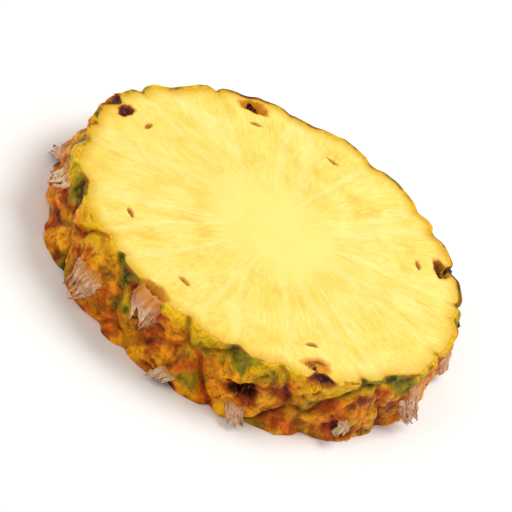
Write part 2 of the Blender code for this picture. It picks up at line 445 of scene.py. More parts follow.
# Streaks that run from the middle of the slice to its rim
def makeStreakGroup():
    inputs = {"Fineness": 9.0, "Length": 40.0, "Low": 0.4, "High": 0.6, "Wander": 0.1}
    tree, given, out = newGroup("radialStreaks", inputs, "Mask")
    place = addNode(tree, "TexCoord").outputs["Object"]
    flat = combine(tree, "MULTIPLY", place, (1, 1, 0))
    away = addNode(tree, "VectorMath", {0: flat}, operation="LENGTH").outputs["Value"]
    wobble = addNode(tree, "TexNoise", {"Vector": place, "Scale": 90.0, "Detail": 1.0}).outputs["Color"]
    offset = scaleVector(tree, combine(tree, "SUBTRACT", wobble, (0.5, 0.5, 0.5)), given["Wander"])
    heading = addNode(tree, "VectorMath", {0: flat}, operation="NORMALIZE").outputs[0]
    spread = scaleVector(tree, combine(tree, "ADD", heading, offset), given["Fineness"])
    along = calculate(tree, "MULTIPLY", away, given["Length"])
    lengthwise = addNode(tree, "CombineXYZ", {"Z": along}).outputs[0]
    point = combine(tree, "ADD", spread, lengthwise)
    streaks = addNode(tree, "TexNoise", {"Vector": point, "Scale": 1.0, "Detail": 2.0}).outputs["Fac"]
    tree.links.new(smoothStep(tree, streaks, given["Low"], given["High"]), out["Mask"])
    return tree


groups = {"patches": makePatchGroup(), "streaks": makeStreakGroup()}


# A pattern for a look: its group, and the values of the group's inputs in their order
def patches(scale, detail, low, high, shift=0.0):
    return "patches", (scale, detail, low, high, shift)


def streaks(fineness, length, low, high, wander):
    return "streaks", (fineness, length, low, high, wander)


def usePattern(tree, name, values):
    node = tree.nodes.new("ShaderNodeGroup")
    node.node_tree = groups[name]
    for socket, value in zip(node.inputs, values):
        socket.default_value = value
    return node.outputs["Mask"]


def readMask(tree, name):
    return addNode(tree, "Attribute", attribute_name=name).outputs["Fac"]


def addGrain(tree, scale, detail):
    place = addNode(tree, "TexCoord").outputs["Object"]
    return addNode(tree, "TexNoise", {"Vector": place, "Scale": scale, "Detail": detail}).outputs["Fac"]


def newMaterial(name, values):
    material = bpy.data.materials.new(name)
    material.use_nodes = True
    shader = material.node_tree.nodes["Principled BSDF"]
    for label, value in values.items():
        shader.inputs[label].default_value = value
    return material, material.node_tree, shader


# A material from a piece's look. Each layer of colour over the base gives its mask, where the mask starts and
# is full (None for the mask as it is), its share and its colour
def makeMaterial(look, addOwn=None):
    material, tree, shader = newMaterial(look["name"], look["shader"])
    masks = {name: readMask(tree, name) for name in look["masks"]}
    for name, (pattern, values) in look["patterns"].items():
        masks[name] = usePattern(tree, pattern, values)
    colours = dict(look["colours"])
    if addOwn:
        addOwn(tree, look, masks, colours)
    colour = colours[look["base"]]
    for name, ends, share, paint in look["layers"]:
        amount = fade(tree, masks[name], *ends) if ends else masks[name]
        if share < 1:
            amount = times(tree, amount, share)
        colour = blendColour(tree, amount, colour, colours[paint])
    tree.links.new(colour, shader.inputs["Base Color"])
    if "roughness" in look:
        name, smoothest, roughest = look["roughness"]
        rough = addNode(tree, "MapRange", {"Value": masks[name], "To Min": smoothest, "To Max": roughest})
        tree.links.new(rough.outputs["Result"], shader.inputs["Roughness"])
    if "bump" in look:
        name, distance, strength = look["bump"]
        bump = addNode(tree, "Bump", {"Height": masks[name], "Distance": distance, "Strength": strength})
        tree.links.new(bump.outputs["Normal"], shader.inputs["Normal"])
    return material


print("tools ready")

# The flesh: two cut faces with fibres and hollows, and a hidden wall inside the skin
fleshForm = {
    "sectorSteps": 37,
    "ringShares": (0, 0.3, 0.76, 0.996),
    "upperRings": (8, 28, 40),
    "lowerRings": (6, 14, 24),
    "wallRows": 9,
    "wallSpan": (0.94, 0.06),
    "skin": 0.0015,
    "tuck": 0.00004,
    "wallDepth": 0.0024,
    "wallEase": 0.12,
    "wallGap": 0.0002,
    "tornThin": 0.8,
    "tornReach": 0.002,
    "middleThin": 0.85,
    "cupThin": 0.75,
    "cupEase": 2,
    "coreRadius": 0.0125,
    "coreEdge": 0.0100,
    "cellTilt": 0.0100,
    "cellBulge": 0.00022,
    "cellEdge": 0.0016,
    "cellWall": 0.0011,
    "cellWallGrowth": 0.0008,
    "grain": 0.00010,
    "grainNoise": (420.0, 3),
    "cupLumps": 0.0007,
    "cupNoise": (800.0, 2),
    "cupDeep": 0.002,
    "rimBand": 0.0052,
    "evenRim": 0.0022,
    "look": {
        "name": "moistFlesh",
        "colours": {
            "pale": tint(250, 228, 124),
            "warm": tint(248, 212, 82),
            "deep": tint(232, 186, 60),
            "core": tint(250, 226, 124),
            "wall": tint(252, 236, 156),
            "rim": tint(228, 184, 30),
            "rimGold": tint(222, 142, 14),
            "cupRing": tint(222, 146, 24),
            "cupWall": tint(146, 66, 10),
            "cupFloor": tint(78, 20, 8),
            "cupGold": tint(240, 164, 36),
            "pocket": tint(196, 128, 26),
        },
        "base": "pale",
        "masks": ("core", "cellWall", "rim", "halo", "pocket", "cup", "glow"),
        "patterns": {
            "broad": streaks(5.0, 120.0, 0.34, 0.68, 0.5),
            "narrow": streaks(17.0, 150.0, 0.44, 0.66, 0.14),
            "fibres": streaks(60.0, 260.0, 0.42, 0.64, 0.03),
            "clouds": patches(95.0, 4.0, 0.38, 0.66),
            "spots": patches(330.0, 3.0, 0.37, 0.6, 0.5),
        },
        "layers": (
            ("outerBroad", None, 0.5, "warm"),
            ("clouds", None, 0.55, "warm"),
            ("outerStreaks", None, 0.6, "deep"),
            ("outerFibres", None, 0.3, "deep"),
            ("cellWall", None, 0.34, "wall"),
            ("core", None, 0.55, "core"),
            ("rim", (0.1, 1.0), 0.75, "rim"),
            ("cloudyRim", None, 0.45, "rimGold"),
            ("halo", (0.2, 0.9), 0.75, "cupRing"),
            ("pocket", None, 1, "pocket"),
            ("cup", (0.02, 0.35), 1, "cupSide"),
            ("cup", (0.5, 0.95), 1, "cupBottom"),
        ),
        "cloudyRim": (0.45, 1.0),
        "leastClouds": 0.35,
        "leastSpots": 0.2,
        "dryStreaks": 0.4,
        "grain": (900.0, 3.0),
        "heights": {"fibres": 0.6, "grain": 0.5, "streaks": 0.8},
        "roughness": ("dryness", 0.34, 0.75),
        "bump": ("height", 0.00022, 0.5),
        "shader": {
            "Specular IOR Level": 0.4,
            "Subsurface Weight": 0.25,
            "Subsurface Radius": (1.0, 0.62, 0.18),
            "Subsurface Scale": 0.003,
        },
    },
}


def addFleshMasks(tree, look, masks, colours):
    outside = calculate(tree, "SUBTRACT", 1.0, masks["core"])
    masks["outerBroad"] = times(tree, masks["broad"], outside)
    masks["outerStreaks"] = times(tree, masks["narrow"], masks["clouds"], outside)
    masks["outerFibres"] = times(tree, masks["fibres"], outside)
    clouds = larger(tree, masks["clouds"], look["leastClouds"])
    masks["cloudyRim"] = times(tree, fade(tree, masks["rim"], *look["cloudyRim"]), clouds)
    golden = times(tree, masks["glow"], larger(tree, masks["spots"], look["leastSpots"]))
    colours["cupSide"] = blendColour(tree, masks["glow"], colours["cupWall"], colours["cupGold"])
    colours["cupBottom"] = blendColour(tree, golden, colours["cupFloor"], colours["cupGold"])
    masks["dryness"] = larger(tree, times(tree, masks["narrow"], look["dryStreaks"]), masks["cup"])
    share = look["heights"]
    grain = times(tree, addGrain(tree, *look["grain"]), share["grain"])
    height = plus(tree, times(tree, masks["outerFibres"], share["fibres"]), grain)
    masks["height"] = plus(tree, height, times(tree, masks["narrow"], outside, share["streaks"]))


# Radius at which flesh and rind meet, at a level from 0 at the lower cut to 1 at the upper. The rind thins
# where a torn cup opens the rim, behind the middle of an eye, and beside a cup
def meetingRadius(face, angle, level, torn, across, above):
    form = fleshForm
    torn = np.clip(torn / form["tornReach"], 0, 1)
    middle = np.clip(np.minimum(level, 1 - level) / form["wallEase"], 0, 1)
    depth = form["skin"] * (1 - form["tornThin"] * torn) + form["wallDepth"] * middle
    depth = depth * (1 - form["middleThin"] * eyeMiddle(across, above) * middle)
    x, y = toPlane(face - depth, angle)
    cup = np.where(level > 0.5, hollowDepth(x, y, True)[1], hollowDepth(x, y, False)[1])
    return face - depth * (1 - form["cupThin"] * cup * np.clip(middle * form["cupEase"], 0, 1))


def ringShares(counts):
    centre, middle, outer, rim = fleshForm["ringShares"]
    shares = list(np.linspace(centre, middle, counts[0], endpoint=False))
    shares += list(np.linspace(middle, outer, counts[1], endpoint=False))
    return shares + list(np.linspace(outer, rim, counts[2])) + [1.0]


def makeFlesh():
    form = fleshForm
    upper = [(share, 1.0) for share in ringShares(form["upperRings"])]
    wall = [(1.0, level) for level in np.linspace(*form["wallSpan"], form["wallRows"])]
    lower = [(share, 0.0) for share in reversed(ringShares(form["lowerRings"]))]
    mesh = turnProfile("flesh", upper + wall + lower, form["sectorSteps"], False)
    share, level, angle = readProfile(mesh)
    isUpper, isLower = findEnds(level)
    isWall = ~(isUpper | isLower)
    wallHeight, _, torn = betweenRims(angle, level)
    _, across, above, _ = findEye(angle, wallHeight)
    meeting = meetingRadius(rindRadius(angle, wallHeight), angle, level, torn, across, above)
    reach = meeting + form["tuck"]
    radius = np.where(isWall, meeting - form["wallGap"], share * reach)
    x, y = toPlane(radius, angle)
    depth, cup, pocket, halo, glow = np.where(isUpper, hollowDepth(x, y, True), hollowDepth(x, y, False))

    # Inside the flesh the eyes go on as wedges towards the core
    away = np.clip(1 - radius / slab["radiusUpper"], 0, 1)
    cutHeight = np.where(isUpper, slab["thickness"], 0.0)
    fromWall = findEye(angle, cutHeight - form["cellTilt"] * away)[3]
    core = 1 - np.clip((radius - form["coreRadius"]) / form["coreEdge"], 0, 1)
    cellWall = hump(fromWall, form["cellWall"] + form["cellWallGrowth"] * away) * (1 - core)
    even = np.clip((reach - radius) / form["evenRim"], 0, 1)
    swell = (1 - hump(fromWall, form["cellEdge"])) * (1 - core) * form["cellBulge"] * even
    flat = np.zeros(len(x))
    sunk = np.clip(depth / form["cupDeep"], 0, 1)
    grain = pointNoise(x, y, flat, *form["grainNoise"]) * form["grain"]
    grain = grain + pointNoise(x, y, flat, *form["cupNoise"]) * sunk * form["cupLumps"]
    grain = grain * np.maximum(even, sunk)
    tucked = np.where(findEnds(share)[0], form["tuck"], 0.0)
    upperFace = upperCut(angle, radius) - depth + swell + grain - tucked
    lowerFace = depth + tucked + form["cellBulge"] * even - swell + np.abs(grain)
    writePoints(mesh, x, y, np.where(isWall, wallHeight, np.where(isUpper, upperFace, lowerFace)))
    writeMasks(mesh, {
        "cup": np.maximum(cup, isWall),
        "pocket": pocket,
        "halo": halo,
        "glow": glow,
        "core": core,
        "cellWall": cellWall,
        "rim": 1 - np.clip((reach - radius) / form["rimBand"], 0, 1),
    })
    return mesh


flesh = addPiece("slicedFlesh", makeFlesh(), makeMaterial(fleshForm["look"], addFleshMasks))
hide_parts("pineapple_slice")

# The rind: a thin shell with the full relief of the eyes, and a narrow cut edge above and below
rindForm = {
    "sectorSteps": 60,
    "sideRows": 72,
    "edgePoints": 6,
    "edgeShare": 0.1,
    "innerRows": 9,
    "lip": 0.00004,
    "sideEase": 0.05,
    "nearZero": 0.000001,
    "lumps": 0.0009,
    "lumpNoise": (170.0, 2),
    "wrinkle": 0.00042,
    "wrinkleNoise": (480.0, 4),
    "creases": 0.00045,
    "creaseNoise": (3.6, 2),
    "creaseTwist": 45,
    "creaseShift": 3.7,
    "creaseReach": 0.004,
    "crackDepth": 0.00022,
    "crackWidth": 0.06,
    "crackStart": 1.6,
    "crackEase": 0.0015,
    "crackShade": 0.5,
    # Painted shade: the low places of the relief are painted darker, full at this depth, by the hollowShade
    # share
    "hollowShadeDepth": 0.0007,
    "hollowShade": 0.6,
    # Painted highlight: the crests of the relief are painted lighter, up to full at this height
    "crestHighlightHeight": 0.0009,
    "slitTurns": (28, 152, 232, 308),
    "slitLean": 0.6,
    "slitWidth": 0.00042,
    "slitDepth": 0.0011,
    "slitReach": (0.0030, 0.0062),
    "slitSteps": (7, 0.37),
    "slitStart": 0.001,
    "slitEnd": 0.0015,
    "stray": 0.0007,
    "strayNoise": (230.0, 3),
    "mottleNoise": (110.0, 3),
    "greenPlaces": ((183, 9), (212, 5), (243, 8), (279, 7), (331, 10), (24, 14), (76, 10), (121, 12)),
    "greenReach": 0.0075,
    "greenFull": 1.2,
    "greenBase": 0.85,
    "greenMottle": 1.5,
    "looseGreen": 0.9,
    "looseFrom": 0.15,
    "cutReach": 0.0060,
    "cutFull": 1.1,
    "look": {
        "name": "waxyRind",
        "colours": {
            "gold": tint(248, 164, 2),
            "amber": tint(228, 108, 0),
            "rust": tint(170, 52, 0),
            "lemon": tint(250, 204, 20),
            "crest": tint(254, 190, 20),
            "olive": tint(130, 124, 6),
            "green": tint(38, 60, 6),
            "brown": tint(96, 42, 4),
            "maroon": tint(60, 12, 4),
            "dust": tint(226, 190, 120),
            "cutSkin": tint(88, 88, 12),
            "cutBrown": tint(150, 84, 12),
            "cutInner": tint(230, 174, 34),
        },
        "base": "gold",
        "masks": ("rise", "pit", "crack", "crest", "nearCut", "green", "inset", "inside"),
        "patterns": {
            "wide": patches(80.0, 3.0, 0.42, 0.60),
            "second": patches(140.0, 4.0, 0.48, 0.62, 0.2),
            "fine": patches(380.0, 4.0, 0.42, 0.62, 0.3),
            "specks": patches(900.0, 2.0, 0.62, 0.72, 0.7),
        },
        "layers": (
            ("wide", None, 1, "amber"),
            ("second", None, 0.75, "rust"),
            ("fine", None, 0.42, "brown"),
            # Painted highlight on the crests of the rind's lumps
            ("crest", None, 0.75, "crest"),
            ("nearCut", None, 0.85, "lemon"),
            ("green", (0.15, 0.6), 0.8, "olive"),
            ("darkGreen", None, 1, "green"),
            ("rise", (0.35, 0.02), 0.55, "brown"),
            ("deepGroove", None, 0.7, "maroon"),
            # Dark slits and cracks, together with painted shade in the low places of the relief
            ("crack", (0.05, 0.75), 0.8, "brown"),
            ("crack", (0.5, 1.0), 0.85, "maroon"),
            ("pit", (0.01, 0.22), 0.7, "rust"),
            ("pit", (0.15, 0.45), 1, "brown"),
            ("pit", (0.25, 0.65), 1, "maroon"),
            ("raisedSpecks", None, 0.2, "dust"),
            ("cutEdge", None, 1, "cutEdge"),
            ("wavyInset", (0.3, 0.8), 1, "cutInner"),
            ("inside", None, 1, "maroon"),
        ),
        "darkGreen": (0.4, 0.9),
        "leastDark": 0.45,
        "deepGroove": (0.1, 0.0),
        "insetMiddle": 0.5,
        "insetWaves": 0.45,
        "skinStart": (0.0, 0.12),
        "skinEnd": (0.7, 0.25),
        "leastSkin": 0.2,
        "grain": (620.0, 4.0),
        "fineHeight": 0.7,
        "roughness": ("dryness", 0.28, 0.62),
        "bump": ("height", 0.0007, 0.9),
        "shader": {
            "Specular IOR Level": 0.16,
            "Subsurface Weight": 0.12,
            "Subsurface Radius": (1.0, 0.5, 0.15),
            "Subsurface Scale": 0.002,
        },
    },
}


def addRindMasks(tree, look, masks, colours):
    fine = masks["fine"]
    second = masks["second"]
    greenest = fade(tree, masks["green"], *look["darkGreen"])
    masks["darkGreen"] = times(tree, greenest, larger(tree, fine, look["leastDark"]))
    masks["deepGroove"] = times(tree, fade(tree, masks["rise"], *look["deepGroove"]), second)
    masks["raisedSpecks"] = times(tree, masks["specks"], masks["rise"])

    # The narrow cut edge: dark skin outside, then a soft change to the flesh
    waves = times(tree, calculate(tree, "SUBTRACT", masks["wide"], look["insetMiddle"]), look["insetWaves"])
    masks["wavyInset"] = plus(tree, masks["inset"], waves)
    skinStart = fade(tree, masks["inset"], *look["skinStart"])
    skinEnd = fade(tree, masks["wavyInset"], *look["skinEnd"])
    masks["cutEdge"] = times(tree, skinStart, skinEnd, larger(tree, second, look["leastSkin"]))
    colours["cutEdge"] = blendColour(tree, second, colours["cutSkin"], colours["cutBrown"])
    masks["dryness"] = larger(tree, fine, masks["pit"])
    masks["height"] = plus(tree, times(tree, fine, look["fineHeight"]), addGrain(tree, *look["grain"]))


def greenMask(angle, height, cut, mottle):
    form = rindForm
    places = np.zeros(len(angle))
    for middle, width in form["greenPlaces"]:
        turned = (angle - math.radians(middle) + math.pi) % math.tau - math.pi
        places = np.maximum(places, hump(turned, math.radians(width)))
    nearCut = np.clip(form["greenFull"] - np.abs(cut - height) / form["greenReach"], 0, 1)
    placed = places * nearCut * (form["greenBase"] + form["greenMottle"] * mottle)
    return np.clip(placed + form["looseGreen"] * np.clip(mottle - form["looseFrom"], 0, 1), 0, 1)


# Dark slits that run out from the middle of an eye, between its scales
def slitMask(across, above, tone, wander):
    form = rindForm
    near, far = form["slitReach"]
    toneStep, turnStep = form["slitSteps"]
    mask = np.zeros(len(across))
    for turn in form["slitTurns"]:
        lean = math.radians(turn) + (tone - 0.5) * form["slitLean"]
        along = across * np.cos(lean) + above * np.sin(lean)
        aside = above * np.cos(lean) - across * np.sin(lean) + wander
        reach = near + (far - near) * ((tone * toneStep + turn * turnStep) % 1)
        started = np.clip(along / form["slitStart"], 0, 1)
        window = started * np.clip((reach - along) / form["slitEnd"], 0, 1)
        mask = np.maximum(mask, hump(aside, form["slitWidth"]) * window)
    return mask


# Lumps of the rind's skin, in the same places for the shell and the scales on it
def lumpsOf(radius, angle, height):
    x, y = toPlane(radius, angle)
    return rindForm["lumps"] * pointNoise(x, y, height, *rindForm["lumpNoise"])


def makeRind():
    form = rindForm
    inward = 1 - form["edgeShare"] * np.linspace(0, 1, form["edgePoints"])
    profile = [(1.0, level) for level in np.linspace(1, 0, form["sideRows"])]
    profile += [(share, 0.0) for share in inward[1:]]
    profile += [(inward[-1], level) for level in np.linspace(0, 1, form["innerRows"])[1:-1]]
    profile += [(share, 1.0) for share in inward[:0:-1]]
    mesh = turnProfile("rind", profile, form["sectorSteps"], True)
    share, level, angle = readProfile(mesh)
    inset = np.clip((1 - share) / form["edgeShare"], 0, 1)
    isUpper, isLower = findEnds(level)
    isInner, isOuter = findEnds(inset)
    height, upperHeight, torn = betweenRims(angle, level)
    nearest, across, above, fromGroove = findEye(angle, height)
    radius = rindRadius(angle, height)
    x, y = toPlane(radius, angle)
    risen = 1 - hump(fromGroove, eyeForm["plateShoulder"])

    # Slits and fine creases run out from the middle of each eye, over a lumpy, cracked skin
    wander = pointNoise(x, y, height, *form["strayNoise"]) * form["stray"]
    outward = np.hypot(across, above) + form["nearZero"]
    twisted = outward * form["creaseTwist"] + nearest * form["creaseShift"]
    creases = pointNoise(across / outward, above / outward, twisted, *form["creaseNoise"])
    slits = slitMask(across, above, eyeTones[nearest], wander)
    crackWindow = np.clip(outward / form["crackEase"] - form["crackStart"], 0, 1)
    cracks = hump(creases, form["crackWidth"]) * risen * crackWindow
    relief = lumpsOf(radius, angle, height) * risen
    relief += form["wrinkle"] * pointNoise(x, height, y, *form["wrinkleNoise"])
    relief += form["creases"] * creases * risen * np.clip(outward / form["creaseReach"], 0, 1)
    relief -= form["slitDepth"] * slits + form["crackDepth"] * cracks
    radius = radius + relief * np.clip(np.minimum(level, 1 - level) / form["sideEase"], 0, 1) * isOuter
    radius = radius + inset * (meetingRadius(radius, angle, level, torn, across, above) - radius)
    x, y = toPlane(radius, angle)
    lip = form["lip"] * np.sin(inset * math.pi)
    upperFace = upperCut(angle, radius) - hollowDepth(x, y, True)[0] + lip
    lowerFace = hollowDepth(x, y, False)[0] + form["lip"] - lip
    z = np.where(isUpper, upperFace, np.where(isLower, lowerFace, height))
    writePoints(mesh, x, y, z)

    mottle = pointNoise(x, y, z, *form["mottleNoise"])
    fromCut = np.abs(upperHeight - height) / form["cutReach"]
    # Painted shade: the low places of the relief are darkened, and this shade joins the dark slits and cracks
    # in one mask
    low = np.clip(-relief / form["hollowShadeDepth"], 0, 1) * form["hollowShade"]
    writeMasks(mesh, {
        "rise": risen,
        "pit": eyeMiddle(across + wander, above + wander),
        "crack": np.maximum(np.maximum(slits, cracks * form["crackShade"]), low),
        "nearCut": np.clip(form["cutFull"] - fromCut + mottle, 0, 1),
        "green": greenMask(angle, height, upperHeight, mottle),
        # Painted highlight: the high places of the relief are painted lighter
        "crest": np.clip(relief / form["crestHighlightHeight"], 0, 1) * risen,
        "inset": inset,
        "inside": isInner & ~(isUpper | isLower),
    })
    return mesh


rindMaterial = makeMaterial(rindForm["look"], addRindMasks)
rind = addPiece("rindShell", makeRind(), rindMaterial)
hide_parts("pineapple_slice")

# Dry bracts: one papery flap over each eye that has kept it, torn into fingers
bractForm = {
    "length": 0.0150,
    "lengthShares": (0.7, 0.4),
    "halfWidth": 0.0062,
    "tipHalfWidth": 0.0024,
    "taper": 2.0,
    "start": 0.0056,
    "rootDepth": 0.0012,
    "rootEase": 6,
    "clearance": 0.0016,
    "arch": 0.0024,
    "tipLift": 0.0016,
    "liftCurve": 2.5,
    "lean": 0.0060,
    "cutGap": 0.0010,
    "floorGap": 0.0009,
    "leastRoom": 0.002,
    "shortest": 0.0055,
    "bareEyes": (-12, -8, -7),
    "brokenOff": {-2: 0.0075},
    "hangingLow": {-7: 0.0072},
    "stubLength": 0.0058,
    "stubHalfWidth": 0.0028,
    "wall": 0.0003,
    "rows": 30,
    "fewestRows": 8,
    "columns": 21,
    "fingerCounts": (3, 3, 4, 5),
    "fingerThin": 0.8,
    "fingerCurve": 1.3,
    "fingerLength": (0.75, 1),
    "tearSpread": 1.2,
    "tearStart": (0.5, 0.92),
    "edgeColumns": 2,
    "curlSpread": 0.0011,
    "curlRange": (-0.5, 1),
    "curlCurve": 1.5,
    "ragged": 0.16,
    "edgeSide": 3,
    "edgeNoise": ((6, 50, 1.0), (21, 70, 0.5)),
    "ripple": 0.0011,
    "rippleNoise": (3, 4, 30),
    "flatRoot": 0.25,
    "fineRipple": 0.00038,
    "fineNoise": (9, 13, 50),
    "folds": 0.00026,
    "foldWaves": (17, 9, 1.5),
    "seed": 31,
    "look": {
        "name": "dryBract",
        "colours": {
            "tan": tint(234, 196, 148),
            "pink": tint(234, 164, 126),
            "straw": tint(252, 234, 200),
            "brown": tint(150, 84, 34),
            "dark": tint(72, 30, 10),
            "root": tint(206, 124, 14),
        },
        "base": "tan",
        "masks": ("along", "across", "tone"),
        "patterns": {
            "patches": patches(260.0, 3.0, 0.46, 0.68),
            "specks": patches(800.0, 2.0, 0.55, 0.7, 0.4),
        },
        "layers": (
            ("tone", (0.1, 0.9), 1, "pink"),
            ("ribs", (0.42, 0.62), 0.7, "straw"),
            ("ribs", (0.48, 0.36), 0.75, "brown"),
            ("patches", None, 0.5, "brown"),
            ("specks", None, 0.5, "dark"),
            ("along", (0.8, 1.0), 0.5, "brown"),
            ("along", (0.55, 0.1), 0.85, "root"),
        ),
        "ribSteps": {"across": 9.0, "along": 1.2, "tone": 20.0},
        "ribNoise": {"Scale": 2.4, "Detail": 3.0},
        "roughness": ("patches", 0.6, 0.85),
        "bump": ("ribs", 0.0006, 0.8),
        "shader": {},
    },
}


def addRibs(tree, look, masks, colours):
    steps = [times(tree, masks[name], step) for name, step in look["ribSteps"].items()]
    place = addNode(tree, "CombineXYZ", dict(enumerate(steps))).outputs[0]
    masks["ribs"] = addNode(tree, "TexNoise", {"Vector": place, **look["ribNoise"]}).outputs["Fac"]


# Tears between the fingers of one bract, as (column, how far along the tear starts)
def drawTears(draw, columns):
    count = draw.choice(bractForm["fingerCounts"])
    spread = bractForm["tearSpread"]
    edge = bractForm["edgeColumns"]
    tears = []
    for step in range(1, count):
        column = round(columns * step / count + draw.uniform(-spread, spread))
        tears.append((min(max(column, edge), columns - 1 - edge), draw.uniform(*bractForm["tearStart"])))
    return tears


def tearFlap(bm, faces, columns, tears):
    torn = []
    for face in faces:
        middle = face.calc_center_median()
        column = int((middle.x + 1) / 2 * columns)
        along = (1 - middle.y) / 2
        if any(column == tearColumn and along > start for tearColumn, start in tears):
            torn.append(face)
    bmesh.ops.delete(bm, geom=torn, context="FACES")


# Noise at a point of a bract, with its steps across, along and from bract to bract
def bractNoise(steps, across, along, tone):
    return noise.noise(Vector((across * steps[0], along * steps[1], tone * steps[2])))


# How far a point of a bract stands off the rind
def bractRise(across, along, tone, halfWidth, curl, parted):
    form = bractForm
    grown = form["rootDepth"] + form["clearance"]
    rise = grown * (1 - math.exp(-form["rootEase"] * along)) - form["rootDepth"]
    rise += form["tipLift"] * (0.5 + tone) * along ** form["liftCurve"]
    rise += curl * parted ** form["curlCurve"]
    rise -= form["arch"] * across**2 * halfWidth / form["halfWidth"]
    ripple = bractNoise(form["rippleNoise"], across, along, tone) * form["ripple"]
    rise += ripple * (form["flatRoot"] + along)
    rise += bractNoise(form["fineNoise"], across, along, tone) * form["fineRipple"]
    acrossStep, toneStep, alongStep = form["foldWaves"]
    return rise + math.sin(across * acrossStep + tone * toneStep + along * alongStep) * form["folds"]


def bendFlap(verts, layers, flap, tears, fingers):
    form = bractForm
    (angle, _, tone), rootHeight, length, fullWidth, columns = flap
    middles = [(2 * column + 1) / columns - 1 for column, _ in tears]
    edges = [-1.0] + middles + [1.0]
    starts = [1.0] + [start for _, start in tears] + [1.0]
    for vert in verts:
        along = (1 - vert.co.y) / 2
        across = vert.co.x
        index = sum(across > middle for middle in middles)
        curl, sway, share = fingers[index]
        start = min(starts[index], starts[index + 1])
        parted = max(0.0, (along - start) / (1 + slab["slack"] - start))
        centre = (edges[index] + edges[index + 1]) / 2
        thinned = 1 - form["fingerThin"] * parted ** form["fingerCurve"]
        across = centre + (across - centre) * thinned
        halfWidth = fullWidth - (fullWidth - form["tipHalfWidth"]) * along ** form["taper"]
        side = math.copysign(form["edgeSide"], across)
        for alongStep, toneStep, part in form["edgeNoise"]:
            wave = noise.noise(Vector((along * alongStep, side, tone * toneStep)))
            halfWidth *= 1 + form["ragged"] * part * wave
        sideways = across * halfWidth + (tone - 0.5) * form["lean"] * along**2 + sway * parted
        height = rootHeight - length * along * (1 - (1 - share) * parted)
        rise = bractRise(across, along, tone, halfWidth, curl, parted)
        radius = float(grooveRadius(angle, height)) + eyeForm["plateHeight"] + rise
        turn = angle + sideways / radius
        vert.co = (radius * math.cos(turn), radius * math.sin(turn), height)
        vert[layers["along"]] = along
        vert[layers["across"]] = across
        vert[layers["tone"]] = tone


def addFlap(bm, layers, draw, flap):
    _, _, length, _, columns = flap
    rows = max(bractForm["fewestRows"], round(bractForm["rows"] * length / bractForm["length"]))
    before = set(bm.faces)
    made = bmesh.ops.create_grid(bm, x_segments=columns, y_segments=rows, size=1.0)
    tears = drawTears(draw, columns)
    tearFlap(bm, [face for face in bm.faces if face not in before], columns, tears)
    spread = bractForm["curlSpread"]
    fingers = []
    for _ in range(len(tears) + 1):
        curl = draw.uniform(*bractForm["curlRange"]) * spread
        sway = draw.uniform(-1, 1) * spread
        fingers.append((curl, sway, draw.uniform(*bractForm["fingerLength"])))
    verts = [vert for vert in made["verts"] if vert.is_valid]
    bendFlap(verts, layers, flap, tears, fingers)


def makeBracts():
    form = bractForm
    draw = random.Random(form["seed"])
    shortest, growth = form["lengthShares"]
    columns = form["columns"]
    bm = bmesh.new()
    layers = {name: bm.verts.layers.float.new(name) for name in bractForm["look"]["masks"]}
    for number, eye in eyes.items():
        angle, height, tone = eye
        cut = rimHeight(angle)
        root = min(height + form["start"], cut - form["cutGap"])
        root = form["hangingLow"].get(number, root)
        room = root - form["floorGap"]
        length = min(form["length"] * (shortest + growth * tone), room)
        length = min(form["brokenOff"].get(number, length), length)
        if height > cut or room < form["leastRoom"]:
            continue
        if length < form["shortest"] or number in form["bareEyes"]:
            length = min(room, form["stubLength"])
            addFlap(bm, layers, draw, (eye, root, length, form["stubHalfWidth"], columns // 2))
        else:
            addFlap(bm, layers, draw, (eye, root, length, form["halfWidth"], columns))
    bmesh.ops.recalc_face_normals(bm, faces=bm.faces)
    return finishMesh(bm, "bracts")


bracts = addPiece("dryBracts", makeBracts(), makeMaterial(bractForm["look"], addRibs))
addWall(bracts, bractForm["wall"])

# Small scales that close over the middle of each eye, in the rind's own finish
scaleForm = {
    "turns": (200, 270, 340),
    "openEyes": {-7: (), -12: (200, 270), -8: (270, 340)},
    "leanSpread": 0.5,
    "root": 0.0058,
    "length": 0.0054,
    "halfWidth": 0.0024,
    "taper": 0.92,
    "taperCurve": 1.6,
    "rise": 0.0009,
    "riseTurn": 0.62,
    "sunk": 0.0008,
    "crown": 0.0006,
    "tipDrop": 0.0016,
    "deepest": 0.0014,
    "edgeGap": 0.0010,
    "edgeShade": (2.5, 1.5),
    "rootShade": (3, 0.4, 0.8),
    "tipShade": (1.6, 1.15, 0.42),
    "wall": 0.00035,
    "rows": 11,
    "columns": 8,
}
scaleLayers = ("scale", "along", "across")


# Angle and height of the middle of an eye, with the pattern's straying taken off
def middleOf(angle, height):
    sideways = stray(eyeForm["straySideways"], angle, height)
    return angle - sideways / slab["radiusLower"], height - stray(eyeForm["strayUpwards"], angle, height)


def drawnScales():
    form = scaleForm
    drawn = []
    for number, (eyeAngle, eyeHeight, tone) in eyes.items():
        angle, height = middleOf(eyeAngle, eyeHeight)
        cut = rimHeight(angle)
        if min(abs(eyeHeight - cut), abs(eyeHeight)) < hollowForm["cupReach"]:
            continue
        for turn in form["openEyes"].get(number, form["turns"]):
            lean = math.radians(turn) + (tone - 0.5) * form["leanSpread"]
            lowest = height + math.sin(lean) * form["root"] - form["halfWidth"]
            highest = height + form["edgeGap"] + form["halfWidth"]
            if lowest > form["edgeGap"] and highest < cut:
                drawn.append((angle, height, lean))
    return drawn


